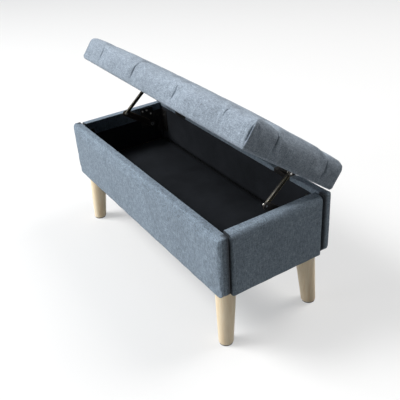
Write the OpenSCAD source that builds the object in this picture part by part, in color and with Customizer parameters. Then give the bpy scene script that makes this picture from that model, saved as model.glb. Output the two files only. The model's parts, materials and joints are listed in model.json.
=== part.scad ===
// Storage ottoman bench: a box of four padded boards on splayed wooden legs,
// with a tufted lid that turns on two butt hinges and is held by two folding stays.
// The lid stands open at lid_open. Millimetres, +Z up, +X along the bench, front at -Y.

/* [Overall] */
// Length of the bench over the front panel
bench_l = 800; // [650:10:1200]
// Depth of the box over the front and back panels
bench_d = 320; // [300:5:420]
// Height of the panels' lower edge above the floor
leg_h = 163; // [120:1:260]
// Height of the four padded panels
panel_h = 165; // [150:1:260]
// Angle at which the lid stands open
lid_open = 36.5; // [20:0.5:60]

/* [Panels] */
// Thickness of the boards inside the panels
board_t = 16; // [12:0.5:18]
// Padding over the outer face of the front and back boards
long_pad = 6; // [5:0.5:9]
// Padding over the outer face of the end boards
end_pad = 14; // [6:0.5:15]
// Fabric and wadding over the edges of the boards
edge_wrap = 3; // [2:0.5:4]
// Thickness of the fabric and lining on the inner faces
lining_t = 2; // [1:0.5:3]
// How far the fabric is turned down inside the end panels
end_turn_in = 36; // [20:1:50]
// How far the fabric is turned down inside the front and back panels
long_turn_in = 8; // [5:1:12]
// Rounding of the rim and of the upright edges of the front and back panels
edge_r = 10; // [8:0.5:12]
// Rounding of the upright edges of the end panels
end_side_r = 6; // [4:0.5:10]
// Rounding of the lower outer edge of the padded panels
low_edge_r = 5; // [3:0.5:8]
// Rounding of the lower corners of the front and back panels
corner_r = 18; // [12:1:30]
// Gap between an end panel and the front or back panel
corner_gap = 6; // [1:0.5:8]

/* [Floor of the box] */
// Height of the inside floor above the panels' lower edge
floor_rise = 42; // [36:1:60]
// Thickness of the floor board
floor_t = 9; // [6:0.5:12]
// Width of the wooden cleats under the floor board
cleat_w = 18; // [12:1:30]
// Side of the square blocks that take the legs
block_w = 62; // [55:1:80]
// Thickness of the cloth under the box
cloth_t = 0.8; // [0.5:0.1:1.5]
// Width of the panel edges that the cloth under the box laps
cloth_lap = 9; // [4:1:12]

/* [Legs] */
// Distance from the end of the bench to the centre of a leg's top
leg_inset_x = 46; // [40:1:70]
// Distance from the front or back of the bench to the centre of a leg's top
leg_inset_y = 39; // [36:1:60]
// How far a foot stands outwards of its leg's top, along the bench
leg_splay_x = 9; // [0:1:20]
// How far a foot stands outwards of its leg's top, across the bench
leg_splay_y = 11; // [0:1:20]
// Radius of a leg at its top
leg_top_r = 26; // [20:0.5:28]
// Radius of a leg at its foot
leg_foot_r = 18.5; // [12:0.5:20]
// Radius of the bolt that holds a leg
leg_bolt_r = 4; // [3:0.5:5]
// Length of the bolt inside the leg
leg_bolt_down = 42; // [25:1:60]
// Length of the bolt inside the block
leg_bolt_up = 24; // [15:1:26]
// Thickness of the glide under a foot
glide_t = 3; // [2:0.5:5]
// How far the edge of the glide lies inside the foot
glide_inset = 1.5; // [1:0.5:4]

/* [Corner brackets] */
// Width of each flange of a corner bracket
bracket_w = 32; // [26:1:34]
// Height of a corner bracket
bracket_h = 74; // [50:1:78]
// Thickness of the bracket's steel
bracket_t = 2; // [1.5:0.5:3]
// Distance from the rim of the box down to the top of a bracket
bracket_drop = 20; // [10:1:28]
// Distance from a screw to the nearer end of the bracket
bracket_screw_in = 18; // [10:1:24]

/* [Lid] */
// Gap between the rim of the box and the closed lid
lid_gap = 8; // [7:0.5:10]
// Thickness of the lid board
lid_board_t = 12; // [10:0.5:15]
// Fabric and wadding around the edge of the lid board
lid_wrap = 5; // [3:0.5:8]
// Thickness of the cloth under the lid
lid_lining_t = 1; // [0.5:0.1:1.5]
// Height of the straight sides of the cushion, from the lid's underside
lid_side_h = 45; // [34:1:60]
// Height that the shoulder of the cushion adds above its straight sides
shoulder_h = 24; // [14:1:28]
// Width of the rounded shoulder of the cushion
shoulder_w = 24; // [14:1:30]
// Height that the crown adds in the middle of the cushion
crown_h = 9; // [4:1:16]
// How far the cushion's lower edge is pulled in under its sides
tuck_in = 1.5; // [0:0.5:3]
// How far the shoulder is drawn in between the corners
draw_in = 2; // [0:0.5:4]
// Number of tufts along the lid
tufts_l = 4; // [2:1:5]
// Number of tufts across the lid
tufts_d = 2; // [2:1:3]
// Distance from the ends of the lid to the nearest tufts
tuft_edge_l = 100; // [70:1:130]
// Distance from the front and back of the lid to the nearest tufts
tuft_edge_d = 67; // [50:1:100]
// Depth of the tufted lines in the top
tuft_deep = 5; // [2:0.5:8]
// Width of the slope on each side of a tufted line
tuft_wide = 30; // [15:1:40]
// Depth of the creases down the sides
crease_deep = 2.5; // [0:0.5:4]

/* [Hinges] */
// Distance from the middle of the bench to the middle of a hinge
hinge_x = 245; // [150:1:260]
// Length of a hinge
hinge_l = 60; // [45:1:80]
// Radius of the hinge's knuckles
knuckle_r = 3.5; // [3:0.1:3.5]
// Radius of the hinge's pin
hinge_pin_r = 1.6; // [1.2:0.1:2]
// Width of the lid's leaf from the pin's axis
leaf_w = 24; // [19:0.5:24]
// How far the box's leaf is turned down inside the box
leaf_lip = 10; // [5:0.5:10]
// Thickness of a leaf
leaf_t = 1.5; // [1:0.1:2]
// Distance of the pin's axis behind the back of the box
hinge_back = 1; // [0:0.5:3]
// Radius of the wood screws
screw_r = 1.8; // [1.5:0.1:2.2]
// Radius of the screw heads
screw_head_r = 3.4; // [3:0.1:4]
// Height of the screw heads
screw_head_h = 1.6; // [1.2:0.1:2.4]
// Length of the wood screws under the head
screw_l = 10; // [8:0.5:10]

/* [Lid stays] */
// Distance from the hinge axis to the stay's pin on the lid
stay_reach = 107; // [95:1:112]
// Height of the hinge axis above the stay's pin when the lid is closed
stay_drop = 4; // [3.5:0.1:5]
// Rise of the stay's arm from its elbow to the lid
arm_up = 60; // [55:1:68]
// Run of the stay's arm towards the back from its elbow to the lid
arm_back = 71; // [70:1:85]
// Half width of the arm
arm_r = 5; // [5:0.5:6.5]
// Depth of the arm's pressed channel
arm_deep = 5; // [5:0.5:8]
// Thickness of the arm's steel
arm_t = 1.5; // [1.2:0.1:2]
// Half width of the lever
lever_r = 9.5; // [8:0.5:12]
// Thickness of the lever
lever_t = 2.5; // [2:0.5:3]
// Width of the stay's base plate
base_w = 44; // [40:1:46]
// Thickness of the base plate and of the lid bracket
plate_t = 2; // [1.5:0.5:2.5]
// Distance from the edge of the base plate to its screws
base_screw_in = 8; // [7:0.5:10]
// Distance that the base plate's rear screws lie apart, along and down
base_screw_gap = 14; // [12:0.5:16]
// Height of the pivot boss on the base plate
boss_h = 11; // [8:0.5:13]
// Radius of the pivot boss
boss_r = 11; // [9:0.5:12]
// Radius of the base pivot pin
base_pin_r = 3; // [2.5:0.1:3.5]
// Radius of the elbow pin and of the lid pin
small_pin_r = 2.5; // [2:0.1:3]
// Length of the flange that is screwed to the lid
flange_l = 44; // [36:1:50]
// Width of that flange
flange_w = 14.5; // [13:0.5:15]

/* [Clearances] */
// Radial clearance of a pin that turns in its hole
running = 0.08; // [0.03:0.01:0.1]
// Radial clearance of the stay's upper pin
stay_play = 0.2; // [0.15:0.01:0.25]
// Gap between faces that slide past each other
side_gap = 0.3; // [0.2:0.05:0.4]
// Radial clearance of a screw or bolt in its hole
screw_fit = 0.1; // [0.05:0.01:0.2]
// Gap around the floor board and the lid board
board_fit = 0.5; // [0.3:0.1:1]

/* [Hidden] */
$fn = 48;

fabric = "LightSlateGray";
wood = "BurlyWood";
board = "Tan";
black = "#202124";
zinc = "DarkKhaki";

// A little more than any solid that a cut has to pass through
eps = 1;

// The box: half sizes, panel thicknesses and heights
half_l = bench_l / 2;
half_d = bench_d / 2;
long_t = long_pad + board_t + lining_t;
end_t = end_pad + board_t + lining_t;
in_x = half_l - end_t;
in_y = half_d - long_t;
end_len = 2 * (in_y - corner_gap);
end_rim_r = edge_r + end_pad - long_pad;
board_edge_r = 1;
end_low_r = edge_wrap + board_edge_r;
rim_z = leg_h + panel_h;
floor_z = leg_h + floor_rise;
floor_under = floor_z - lining_t - floor_t;

// The hinge axis, and the lid above it when it is closed
axis_y = half_d + hinge_back;
axis_z = rim_z + lid_gap / 2;
lid_z = rim_z + lid_gap;
lid_board_l = bench_l - 2 * lid_wrap;
lid_board_d = bench_d - 2 * lid_wrap;
leaf_gap = 0.5;
box_leaf_w = axis_y - in_y + leaf_t;

// The open lid's back shoulder reaches out behind the box by this much,
// so the box stands half of it forward of the origin
lean = hinge_back + (lid_gap / 2 + lid_side_h) * sin(lid_open) - (shoulder_w + hinge_back) * cos(lid_open)
    + sqrt(pow(shoulder_w * cos(lid_open), 2) + pow(shoulder_h * sin(lid_open), 2));
box_y = -lean / 2;

// The legs
leg_x = half_l - leg_inset_x;
leg_y = half_d - leg_inset_y;
leg_top = leg_h - cloth_t;
leg_splay = sqrt(leg_splay_x * leg_splay_x + leg_splay_y * leg_splay_y);
leg_lean = atan(leg_splay / leg_top);
leg_turn = leg_splay > 0 ? atan2(leg_splay_y, leg_splay_x) : 0;
leg_len = leg_top / cos(leg_lean);
insert_wall = 2;
bolt_end_gap = 1;
nail_r = 1.5;
nail_l = 14;

// The stay's pivots, as [y, z]: on the lid when it is closed, on the base, and the elbow at rest
stay_pin = [axis_y - stay_reach, axis_z - stay_drop];
stay_foot = [axis_y - arm_back, axis_z - arm_up];
lever_len = sqrt(stay_reach * stay_reach + stay_drop * stay_drop);
lever_dip = atan(stay_drop / stay_reach);
arm_len = sqrt(arm_back * arm_back + arm_up * arm_up);
arm_rise = atan(arm_up / arm_back);
elbow = [stay_foot[0] - lever_len * cos(lid_open - lever_dip),
    stay_foot[1] + lever_len * sin(lid_open - lever_dip)];

// The stay's layers, from the end panel inwards
boss_x = in_x - plate_t - boss_h;
lever_x = boss_x - side_gap - lever_t;
arm_x = lever_x - side_gap - arm_deep;
pin_head = 2;
pin_lip = 1.6;
base_pin_lip = 2.5;
pin_head_r = small_pin_r + pin_lip;
base_pin_head_r = base_pin_r + base_pin_lip;

// The base plate, from its foot to its top, its screws as [y, z], and the lid bracket
base_margin = 3;
base_drop = 5;
base_low = stay_foot[1] - boss_r - base_margin;
base_top = rim_z - base_drop;
base_back = in_y - bracket_w - side_gap;
base_screw_top = base_top - base_screw_in;
base_screws = [
    [base_back - base_w + base_screw_in, base_screw_top],
    [base_back - base_screw_in - base_screw_gap, base_screw_top],
    [base_back - base_screw_in, base_screw_top - base_screw_gap]];
plate_r = 4;
lug_r = 7;
flange_front = stay_pin[0] - flange_l / 2;

// Places that repeat
ENDS = [-1, 1];
bracket_z = rim_z - bracket_drop - bracket_h;
bracket_screw_z = [bracket_z + bracket_screw_in, bracket_z + bracket_h - bracket_screw_in];
bracket_screw_mid = bracket_t + (bracket_w - bracket_t) / 2;
leaf_screw_in = 10;
leaf_screw_x = [-hinge_l / 2 + leaf_screw_in, 0, hinge_l / 2 - leaf_screw_in];
leaf_screw_y = half_d - long_pad - board_t / 2;
flange_screw_end = 7;
flange_screw_side = 5;
flange_screw_y = [flange_front + flange_screw_end, flange_front + flange_l - flange_screw_end];
flange_screw_x = lever_x + flange_w - flange_screw_side;
knuckle_l = hinge_l / 3;

// Rings of the cushion's shoulder and sides
shoulder_steps = 4;
side_steps = 2;
// How far the cushion's sewn corners are short of the lid's outline
corner_in = 1.5;

// Frames
module carcass() translate([0, box_y, 0]) children();
module opened() {
    translate([0, axis_y, axis_z]) rotate([-lid_open, 0, 0]) translate([0, -axis_y, -axis_z]) children();
}

module on_side(sx) mirror([sx < 0 ? 1 : 0, 0, 0]) children();
module on_corner(sx, sy) on_side(sx) mirror([0, sy < 0 ? 1 : 0, 0]) children();

module along_leg() {
    translate([leg_x, leg_y, leg_top]) rotate([0, 0, leg_turn]) rotate([0, -leg_lean, 0]) children();
}

// Plane shapes with true round corners
module corner_cut(r) {
    difference() {
        translate([-eps, -eps]) square(r + eps);
        translate([r, r]) circle(r);
    }
}

module round_plate(w, h, low_left, low_right, top_right, top_left) {
    difference() {
        square([w, h]);
        corner_cut(low_left);
        translate([w, 0]) mirror([1, 0]) corner_cut(low_right);
        translate([w, h]) mirror([1, 0]) mirror([0, 1]) corner_cut(top_right);
        translate([0, h]) mirror([0, 1]) corner_cut(top_left);
    }
}

// A slab along X with its outer face at y = 0 and its foot at z = 0, rounded on every outer edge:
// by rim_r along the top, by side_r up the ends, and by low_r at the lower corners
module soft_slab(w, t, h, rim_r, side_r, low_r) {
    inner_r = lining_t;
    intersection() {
        translate([-w / 2, t, 0]) rotate([90, 0, 0]) linear_extrude(t)
            round_plate(w, h, low_r, low_r, edge_wrap, edge_wrap);
        translate([-w / 2, 0, 0]) rotate([90, 0, 90]) linear_extrude(w)
            round_plate(t, h, low_edge_r, inner_r, inner_r, rim_r);
        translate([-w / 2, 0, 0]) linear_extrude(h)
            round_plate(w, t, side_r, side_r, inner_r, inner_r);
    }
}

// The bare board of a panel, in the same place as the slab that it goes into
module bare_board(w, pad, low_r) {
    bw = w - 2 * edge_wrap;
    bh = panel_h - 2 * edge_wrap;
    r = low_r - edge_wrap;
    translate([-bw / 2, pad + board_t, edge_wrap]) rotate([90, 0, 0]) linear_extrude(board_t)
        round_plate(bw, bh, r, r, board_edge_r, board_edge_r);
}

// The padded cover of a panel: fabric and wadding over the outer face and all edges,
// turned in over the top, and over both ends as far as end_lip
module padded_cover(w, pad, rim_r, side_r, low_r, turn_in, end_lip) {
    difference() {
        soft_slab(w, pad + board_t + lining_t, panel_h, rim_r, side_r, low_r);
        bare_board(w, pad, low_r);
        translate([-w / 2 + end_lip, pad + board_t, -eps])
            cube([w - 2 * end_lip, lining_t + eps, panel_h - turn_in + eps]);
    }
}

// A panel's inner lining, from the floor up to the turned-in fabric
module inner_lining(w, pad, turn_in) {
    translate([-w / 2, pad + board_t, floor_rise])
        cube([w, lining_t, panel_h - turn_in - floor_rise]);
}

// Frames of the four panels
module front_frame() carcass() translate([0, -half_d, leg_h]) children();
module back_frame() carcass() mirror([0, 1, 0]) translate([0, -half_d, leg_h]) children();
module left_frame() carcass() rotate([0, 0, -90]) translate([0, -half_l, leg_h]) children();
module right_frame() carcass() rotate([0, 0, 90]) translate([0, -half_l, leg_h]) children();

module long_board() bare_board(bench_l, long_pad, corner_r);
module end_board() bare_board(end_len, end_pad, end_low_r);
module long_cover()
    padded_cover(bench_l, long_pad, edge_r, edge_r, corner_r, long_turn_in, end_t - lining_t);
module end_cover()
    padded_cover(end_len, end_pad, end_rim_r, end_side_r, end_low_r, end_turn_in, -eps);
module long_lining() inner_lining(2 * (in_x + lining_t), long_pad, long_turn_in);
module end_lining() inner_lining(end_len, end_pad, end_turn_in);

module front_board() {
    color(board) difference() {
        front_frame() long_board();
        corner_screw_holes();
    }
}

module back_board() {
    color(board) difference() {
        back_frame() long_board();
        corner_screw_holes();
        hinge_box_screw_holes();
    }
}

module left_board() {
    color(board) difference() {
        left_frame() end_board();
        corner_screw_holes();
        stay_base_screw_holes();
    }
}

module right_board() {
    color(board) difference() {
        right_frame() end_board();
        corner_screw_holes();
        stay_base_screw_holes();
    }
}

module front_cover() {
    color(fabric) front_frame() long_cover();
}

module back_cover() {
    color(fabric) difference() {
        back_frame() long_cover();
        hinge_box_screw_holes();
    }
}

module left_cover() {
    color(fabric) difference() {
        left_frame() end_cover();
        corner_screw_holes();
        stay_base_screw_holes();
    }
}

module right_cover() {
    color(fabric) difference() {
        right_frame() end_cover();
        corner_screw_holes();
        stay_base_screw_holes();
    }
}

module front_lining() {
    color(black) difference() {
        front_frame() long_lining();
        corner_screw_holes();
    }
}

module back_lining() {
    color(black) difference() {
        back_frame() long_lining();
        corner_screw_holes();
    }
}

module left_lining() {
    color(black) difference() {
        left_frame() end_lining();
        corner_screw_holes();
        stay_base_screw_holes();
    }
}

module right_lining() {
    color(black) difference() {
        right_frame() end_lining();
        corner_screw_holes();
        stay_base_screw_holes();
    }
}

// The floor of the box, the cleats and blocks under it, and the cloth below them
module floor_sheet(z, t) {
    x = in_x - board_fit;
    y = in_y + lining_t - board_fit;
    translate([-x, -y, z]) cube([2 * x, 2 * y, t]);
}

module floor_board() color(board) carcass() floor_sheet(floor_under, floor_t);
module floor_lining() color(black) carcass() floor_sheet(floor_under + floor_t, lining_t);

module long_cleats() {
    len = 2 * (in_x - block_w - board_fit);
    color(board) carcass() for (s = ENDS)
        translate([-len / 2, s * (in_y + lining_t - cleat_w / 2) - cleat_w / 2, leg_h])
            cube([len, cleat_w, floor_under - leg_h]);
}

module end_cleats() {
    len = 2 * (in_y + lining_t - block_w - board_fit);
    color(board) carcass() for (s = ENDS)
        translate([s * (in_x + lining_t - cleat_w / 2) - cleat_w / 2, -len / 2, leg_h])
            cube([cleat_w, len, floor_under - leg_h]);
}

module leg_block(sx, sy) {
    color(board) carcass() on_corner(sx, sy) difference() {
        translate([in_x + lining_t - block_w, in_y + lining_t - block_w, leg_h])
            cube([block_w, block_w, floor_under - leg_h]);
        along_leg() translate([0, 0, -eps]) cylinder(h = 2 * leg_bolt_up, r = leg_bolt_r + insert_wall);
    }
}

module leg_inserts() {
    color(zinc) carcass() for (sx = ENDS, sy = ENDS) on_corner(sx, sy) intersection() {
        translate([leg_x - block_w, leg_y - block_w, leg_h]) cube([2 * block_w, 2 * block_w, leg_bolt_up]);
        along_leg() translate([0, 0, -eps]) difference() {
            cylinder(h = 2 * leg_bolt_up, r = leg_bolt_r + insert_wall);
            translate([0, 0, -eps]) cylinder(h = 2 * leg_bolt_up + 3 * eps, r = leg_bolt_r + screw_fit);
        }
    }
}

module cloth_sheet(x, y) translate([-x, -y, leg_top]) cube([2 * x, 2 * y, cloth_t]);

module underside_cloth() {
    color(black) carcass() difference() {
        union() {
            cloth_sheet(in_x + cloth_lap, in_y - corner_gap);
            cloth_sheet(in_x - eps, in_y + cloth_lap);
        }
        for (sx = ENDS, sy = ENDS) on_corner(sx, sy) leg_bolt_hole();
    }
}

// Legs
module leg_bolt_hole() {
    along_leg() translate([0, 0, -leg_bolt_down])
        cylinder(h = leg_bolt_down + leg_bolt_up, r = leg_bolt_r + screw_fit);
}

module glide_nail(r) {
    translate([leg_x + leg_splay_x, leg_y + leg_splay_y, glide_t - eps]) cylinder(h = nail_l + eps, r = r);
}

module leg(sx, sy) {
    over = 2 * leg_top_r;
    extra = over * (leg_top_r - leg_foot_r) / leg_len;
    color(wood) carcass() on_corner(sx, sy) difference() {
        intersection() {
            along_leg() translate([0, 0, -leg_len - over])
                cylinder(h = leg_len + 2 * over, r1 = leg_foot_r - extra, r2 = leg_top_r + extra);
            translate([leg_x - over, leg_y - over, glide_t]) cube([2 * over, 2 * over, leg_top - glide_t]);
        }
        leg_bolt_hole();
        glide_nail(nail_r + screw_fit);
    }
}

module leg_bolts() {
    color(zinc) carcass() for (sx = ENDS, sy = ENDS) on_corner(sx, sy)
        along_leg() translate([0, 0, -leg_bolt_down])
            cylinder(h = leg_bolt_down + leg_bolt_up - bolt_end_gap, r = leg_bolt_r);
}

module glides() {
    color(black) carcass() for (sx = ENDS, sy = ENDS) on_corner(sx, sy) {
        translate([leg_x + leg_splay_x, leg_y + leg_splay_y, 0])
            cylinder(h = glide_t, r = leg_foot_r - glide_inset);
        glide_nail(nail_r);
    }
}

// Corner brackets: a steel angle in each corner of the box, with two screws in each flange
module corner_bracket(sx, sy) {
    color(black) difference() {
        carcass() on_corner(sx, sy) difference() {
            translate([in_x - bracket_w, in_y - bracket_w, bracket_z])
                cube([bracket_w, bracket_w, bracket_h]);
            translate([in_x - bracket_w - eps, in_y - bracket_w - eps, bracket_z - eps])
                cube([bracket_w + eps - bracket_t, bracket_w + eps - bracket_t, bracket_h + 2 * eps]);
        }
        corner_screw_holes();
    }
}

module corner_screw_places() {
    for (sx = ENDS, sy = ENDS, z = bracket_screw_z) carcass() on_corner(sx, sy) {
        translate([in_x - bracket_screw_mid, in_y - bracket_t, z]) rotate([-90, 0, 0]) children();
        translate([in_x - bracket_t, in_y - bracket_screw_mid, z]) rotate([0, 90, 0]) children();
    }
}

// A screw points along +Z from the face that its head lies on
module screw_hole() translate([0, 0, -eps]) cylinder(h = screw_l + 2 * eps, r = screw_r + screw_fit);

module screw() {
    cylinder(h = screw_l, r = screw_r);
    translate([0, 0, -screw_head_h]) cylinder(h = screw_head_h, r1 = screw_head_r / 2, r2 = screw_head_r);
}

module corner_screw_holes() corner_screw_places() screw_hole();
module corner_screws() color(zinc) corner_screw_places() screw();

// Hinges: each leaf is a plate of width w with its own knuckles, on a pin along X.
// The pin is tight in the box's leaf and turns in the lid's leaf
module leaf(w, knuckles, hole_r) {
    own_l = knuckle_l - 2 * side_gap;
    difference() {
        union() {
            translate([-hinge_l / 2, -w, 0]) cube([hinge_l, w - knuckle_r - leaf_gap, leaf_t]);
            for (k = knuckles) translate([k * knuckle_l - own_l / 2, 0, 0]) {
                translate([0, eps - w, 0]) cube([own_l, w - eps, leaf_t]);
                translate([0, 0, lid_gap / 2]) rotate([0, 90, 0]) cylinder(h = own_l, r = knuckle_r);
            }
        }
        translate([-hinge_l, 0, lid_gap / 2]) rotate([0, 90, 0]) cylinder(h = 2 * hinge_l, r = hole_r);
    }
}

module hinge_box_leaf(sx) {
    color(black) difference() {
        carcass() translate([sx * hinge_x, axis_y, rim_z]) {
            leaf(box_leaf_w, [-1, 1], hinge_pin_r);
            translate([-hinge_l / 2, -box_leaf_w, -leaf_lip]) cube([hinge_l, leaf_t, leaf_lip + leaf_t]);
        }
        hinge_box_screw_holes();
    }
}

module hinge_lid_leaf(sx) {
    color(black) carcass() opened() difference() {
        translate([sx * hinge_x, axis_y, lid_z]) mirror([0, 0, 1])
            leaf(leaf_w, [0], hinge_pin_r + running);
        lid_screw_places() screw_hole();
    }
}

module hinge_pins() {
    color(zinc) carcass() for (s = ENDS)
        translate([s * hinge_x - hinge_l / 2, axis_y, axis_z]) rotate([0, 90, 0])
            cylinder(h = hinge_l, r = hinge_pin_r);
}

module hinge_box_screw_places() {
    carcass() for (s = ENDS, x = leaf_screw_x)
        translate([s * hinge_x + x, leaf_screw_y, rim_z + leaf_t]) rotate([180, 0, 0]) children();
}

module hinge_box_screw_holes() hinge_box_screw_places() screw_hole();
module hinge_box_screws() color(zinc) hinge_box_screw_places() screw();

// Screws up into the closed lid, as places with +Z into the wood
module lid_screw_places() {
    for (s = ENDS, x = leaf_screw_x) translate([s * hinge_x + x, leaf_screw_y, lid_z - leaf_t]) children();
}

module bracket_screw_places() {
    for (s = ENDS, y = flange_screw_y) on_side(s)
        translate([flange_screw_x, y, lid_z - plate_t]) children();
}

module lid_screw_holes() {
    lid_screw_places() screw_hole();
    bracket_screw_places() screw_hole();
}

module hinge_lid_screws() color(zinc) carcass() opened() lid_screw_places() screw();
module stay_bracket_screws() color(zinc) carcass() opened() bracket_screw_places() screw();

// Lid
module lid_sheet(z, t) {
    l = lid_board_l - 2 * board_fit;
    d = lid_board_d - 2 * board_fit;
    translate([-l / 2, -d / 2, lid_z + z]) cube([l, d, t]);
}

module lid_board() {
    color(board) carcass() opened() difference() {
        lid_sheet(lid_lining_t, lid_board_t);
        lid_screw_holes();
    }
}

module lid_lining() {
    color(black) carcass() opened() difference() {
        lid_sheet(0, lid_lining_t);
        lid_screw_holes();
    }
}

// The tufted lines across and along the lid, and a grid that is finer beside them,
// out to the inner edge of the shoulder
function tuft_lines(half, edge, count) =
    [for (k = [0:count - 1]) -half + edge + 2 * k * (half - edge) / (count - 1)];
function eased(a, b, n) = [for (k = [0:n - 1]) a + (b - a) * (1 - cos(180 * k / n)) / 2];
function grid_lines(end, marks, end_cells, cells) = concat(
    eased(-end, marks[0], end_cells),
    [for (k = [0:len(marks) - 2]) each eased(marks[k], marks[k + 1], cells)],
    eased(marks[len(marks) - 1], end, end_cells),
    [end]);
flat_l = half_l - shoulder_w;
flat_d = half_d - shoulder_w;
tuft_x = tuft_lines(half_l, tuft_edge_l, tufts_l);
tuft_y = tuft_lines(half_d, tuft_edge_d, tufts_d);
grid_x = grid_lines(flat_l, tuft_x, 4, 8);
grid_y = grid_lines(flat_d, tuft_y, 3, 8);
cells_x = len(grid_x) - 1;
cells_y = len(grid_y) - 1;

// Height of the top over a place: a crown in the middle, and a valley along each tufted line
function off_line(v, marks) = min([for (m = marks) abs(v - m)]);
function valley(d) = pow(max(0, 1 - d / tuft_wide), 2);
function crown(x, y) = (1 - pow(abs(x) / half_l, 3)) * (1 - pow(abs(y) / half_d, 2.4));
function top_z(x, y) = lid_side_h + shoulder_h + crown_h * crown(x, y)
    - tuft_deep * max(valley(off_line(x, tuft_x)), valley(off_line(y, tuft_y)));

// The border of the grid, once round from the front left corner
border = concat(
    [for (i = [0:cells_x - 1]) [grid_x[i], grid_y[0]]],
    [for (i = [0:cells_y - 1]) [grid_x[cells_x], grid_y[i]]],
    [for (i = [0:cells_x - 1]) [grid_x[cells_x - i], grid_y[cells_y]]],
    [for (i = [0:cells_y - 1]) [grid_x[0], grid_y[cells_y - i]]]);
turns = len(border);

// Which way is outwards at a point of the border
function out_x(p) = abs(p[0]) >= flat_l ? sign(p[0]) : 0;
function out_y(p) = abs(p[1]) >= flat_d ? sign(p[1]) : 0;
// How far the fabric is drawn in there: by a crease below each tufted line, and between the corners
function pull(p) = out_x(p) != 0 && out_y(p) != 0 ? corner_in
    : out_x(p) != 0 ? pull_at(p[1], tuft_y, half_d) : pull_at(p[0], tuft_x, half_l);
function pull_at(v, marks, half) =
    crease_deep * valley(2 * off_line(v, marks)) + draw_in * cos(90 * v / half);
// A border point moved outwards by reach, to the height z
function outwards(p, reach, z) = [p[0] + out_x(p) * reach, p[1] + out_y(p) * reach, z];
function shoulder_ring(a) = [for (p = border) outwards(p, (shoulder_w - pull(p)) * sin(a),
    lid_side_h + (top_z(p[0], p[1]) - lid_side_h) * cos(a))];
function side_ring(f) = [for (p = border)
    outwards(p, shoulder_w - pull(p) * (1 - f) - tuck_in * f * f, lid_side_h * (1 - f))];
function board_ring(z) = [for (p = border)
    [p[0] * (half_l - lid_wrap) / flat_l, p[1] * (half_d - lid_wrap) / flat_d, z]];

function ring_faces(a, b) = [for (i = [0:turns - 1]) let (k = (i + 1) % turns)
    each [[a + i, a + k, b + k], [a + i, b + k, b + i]]];
function top_index(i, j) = i + j * (cells_x + 1);
function border_index(i) = i < cells_x ? top_index(i, 0)
    : i < cells_x + cells_y ? top_index(cells_x, i - cells_x)
    : i < 2 * cells_x + cells_y ? top_index(2 * cells_x + cells_y - i, cells_y)
    : top_index(0, turns - i);

module lid_cushion() {
    pocket_z = lid_lining_t + lid_board_t;
    top = [for (y = grid_y, x = grid_x) [x, y, top_z(x, y)]];
    rings = [for (k = [1:shoulder_steps]) shoulder_ring(90 * k / shoulder_steps),
        for (k = [1:side_steps]) side_ring(k / side_steps), board_ring(0), board_ring(pocket_z)];
    first = len(top);
    last = first + (len(rings) - 1) * turns;
    points = concat(top, [for (r = rings) each r], [[0, 0, pocket_z]]);
    top_faces = [for (j = [0:cells_y - 1], i = [0:cells_x - 1])
        each [[top_index(i, j), top_index(i, j + 1), top_index(i + 1, j + 1)],
            [top_index(i, j), top_index(i + 1, j + 1), top_index(i + 1, j)]]];
    edge_faces = [for (i = [0:turns - 1]) let (k = (i + 1) % turns)
        each [[border_index(i), border_index(k), first + k], [border_index(i), first + k, first + i]]];
    side_faces = [for (r = [0:len(rings) - 2]) each ring_faces(first + r * turns, first + (r + 1) * turns)];
    pocket_faces = [for (i = [0:turns - 1]) [last + i, last + (i + 1) % turns, len(points) - 1]];
    color(fabric) carcass() opened() translate([0, 0, lid_z])
        polyhedron(points, concat(top_faces, edge_faces, side_faces, pocket_faces), convexity = 6);
}

// Lid stays: a lever on the base and an arm up to the lid, so the lever stays parallel to the lid
module link_shape(len, r) {
    circle(r);
    translate([len, 0]) circle(r);
    translate([0, -r]) square([len, 2 * r]);
}

// Turns plane shapes drawn with X forwards and Y up into the stay's plane, from x0 inwards
module stay_plane(x0, at, turn) {
    translate([x0, at[0], at[1]]) rotate([turn, 0, 0]) rotate([90, 0, 90]) mirror([1, 0, 0]) children();
}

module stay_base_screw_places() {
    carcass() for (s = ENDS, p = base_screws) on_side(s)
        translate([in_x - plate_t, p[0], p[1]]) rotate([0, 90, 0]) children();
}

module stay_base_screw_holes() stay_base_screw_places() screw_hole();
module stay_base_screws() color(zinc) stay_base_screw_places() screw();

module stay_base(sx) {
    color(black) difference() {
        carcass() on_side(sx) difference() {
            union() {
                translate([in_x - plate_t, base_back - base_w, base_low]) rotate([90, 0, 90])
                    linear_extrude(plate_t)
                        round_plate(base_w, base_top - base_low, plate_r, plate_r, plate_r, plate_r);
                translate([boss_x, stay_foot[0], stay_foot[1]]) rotate([0, 90, 0])
                    cylinder(h = boss_h + plate_t, r = boss_r);
            }
            translate([boss_x - eps, stay_foot[0], stay_foot[1]]) rotate([0, 90, 0])
                cylinder(h = boss_h + plate_t + 2 * eps, r = base_pin_r);
        }
        stay_base_screw_holes();
    }
}

module stay_base_pins() {
    head_x = lever_x - side_gap - pin_head;
    color(zinc) carcass() for (s = ENDS) on_side(s)
        translate([head_x, stay_foot[0], stay_foot[1]]) rotate([0, 90, 0]) {
            cylinder(h = in_x - head_x, r = base_pin_r);
            cylinder(h = pin_head, r = base_pin_head_r);
        }
}

module stay_lever(sx) {
    color(zinc) carcass() on_side(sx) stay_plane(lever_x, stay_foot, -lid_open) linear_extrude(lever_t)
        rotate(-lever_dip) difference() {
            link_shape(lever_len, lever_r);
            circle(base_pin_r + running);
            translate([lever_len, 0]) circle(small_pin_r);
        }
}

module stay_elbow_pin(sx) {
    color(zinc) carcass() on_side(sx) translate([arm_x, elbow[0], elbow[1]]) rotate([0, 90, 0]) {
        translate([0, 0, -side_gap]) cylinder(h = lever_x + lever_t - arm_x + side_gap, r = small_pin_r);
        translate([0, 0, -side_gap - pin_head]) cylinder(h = pin_head, r = pin_head_r);
    }
}

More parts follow.
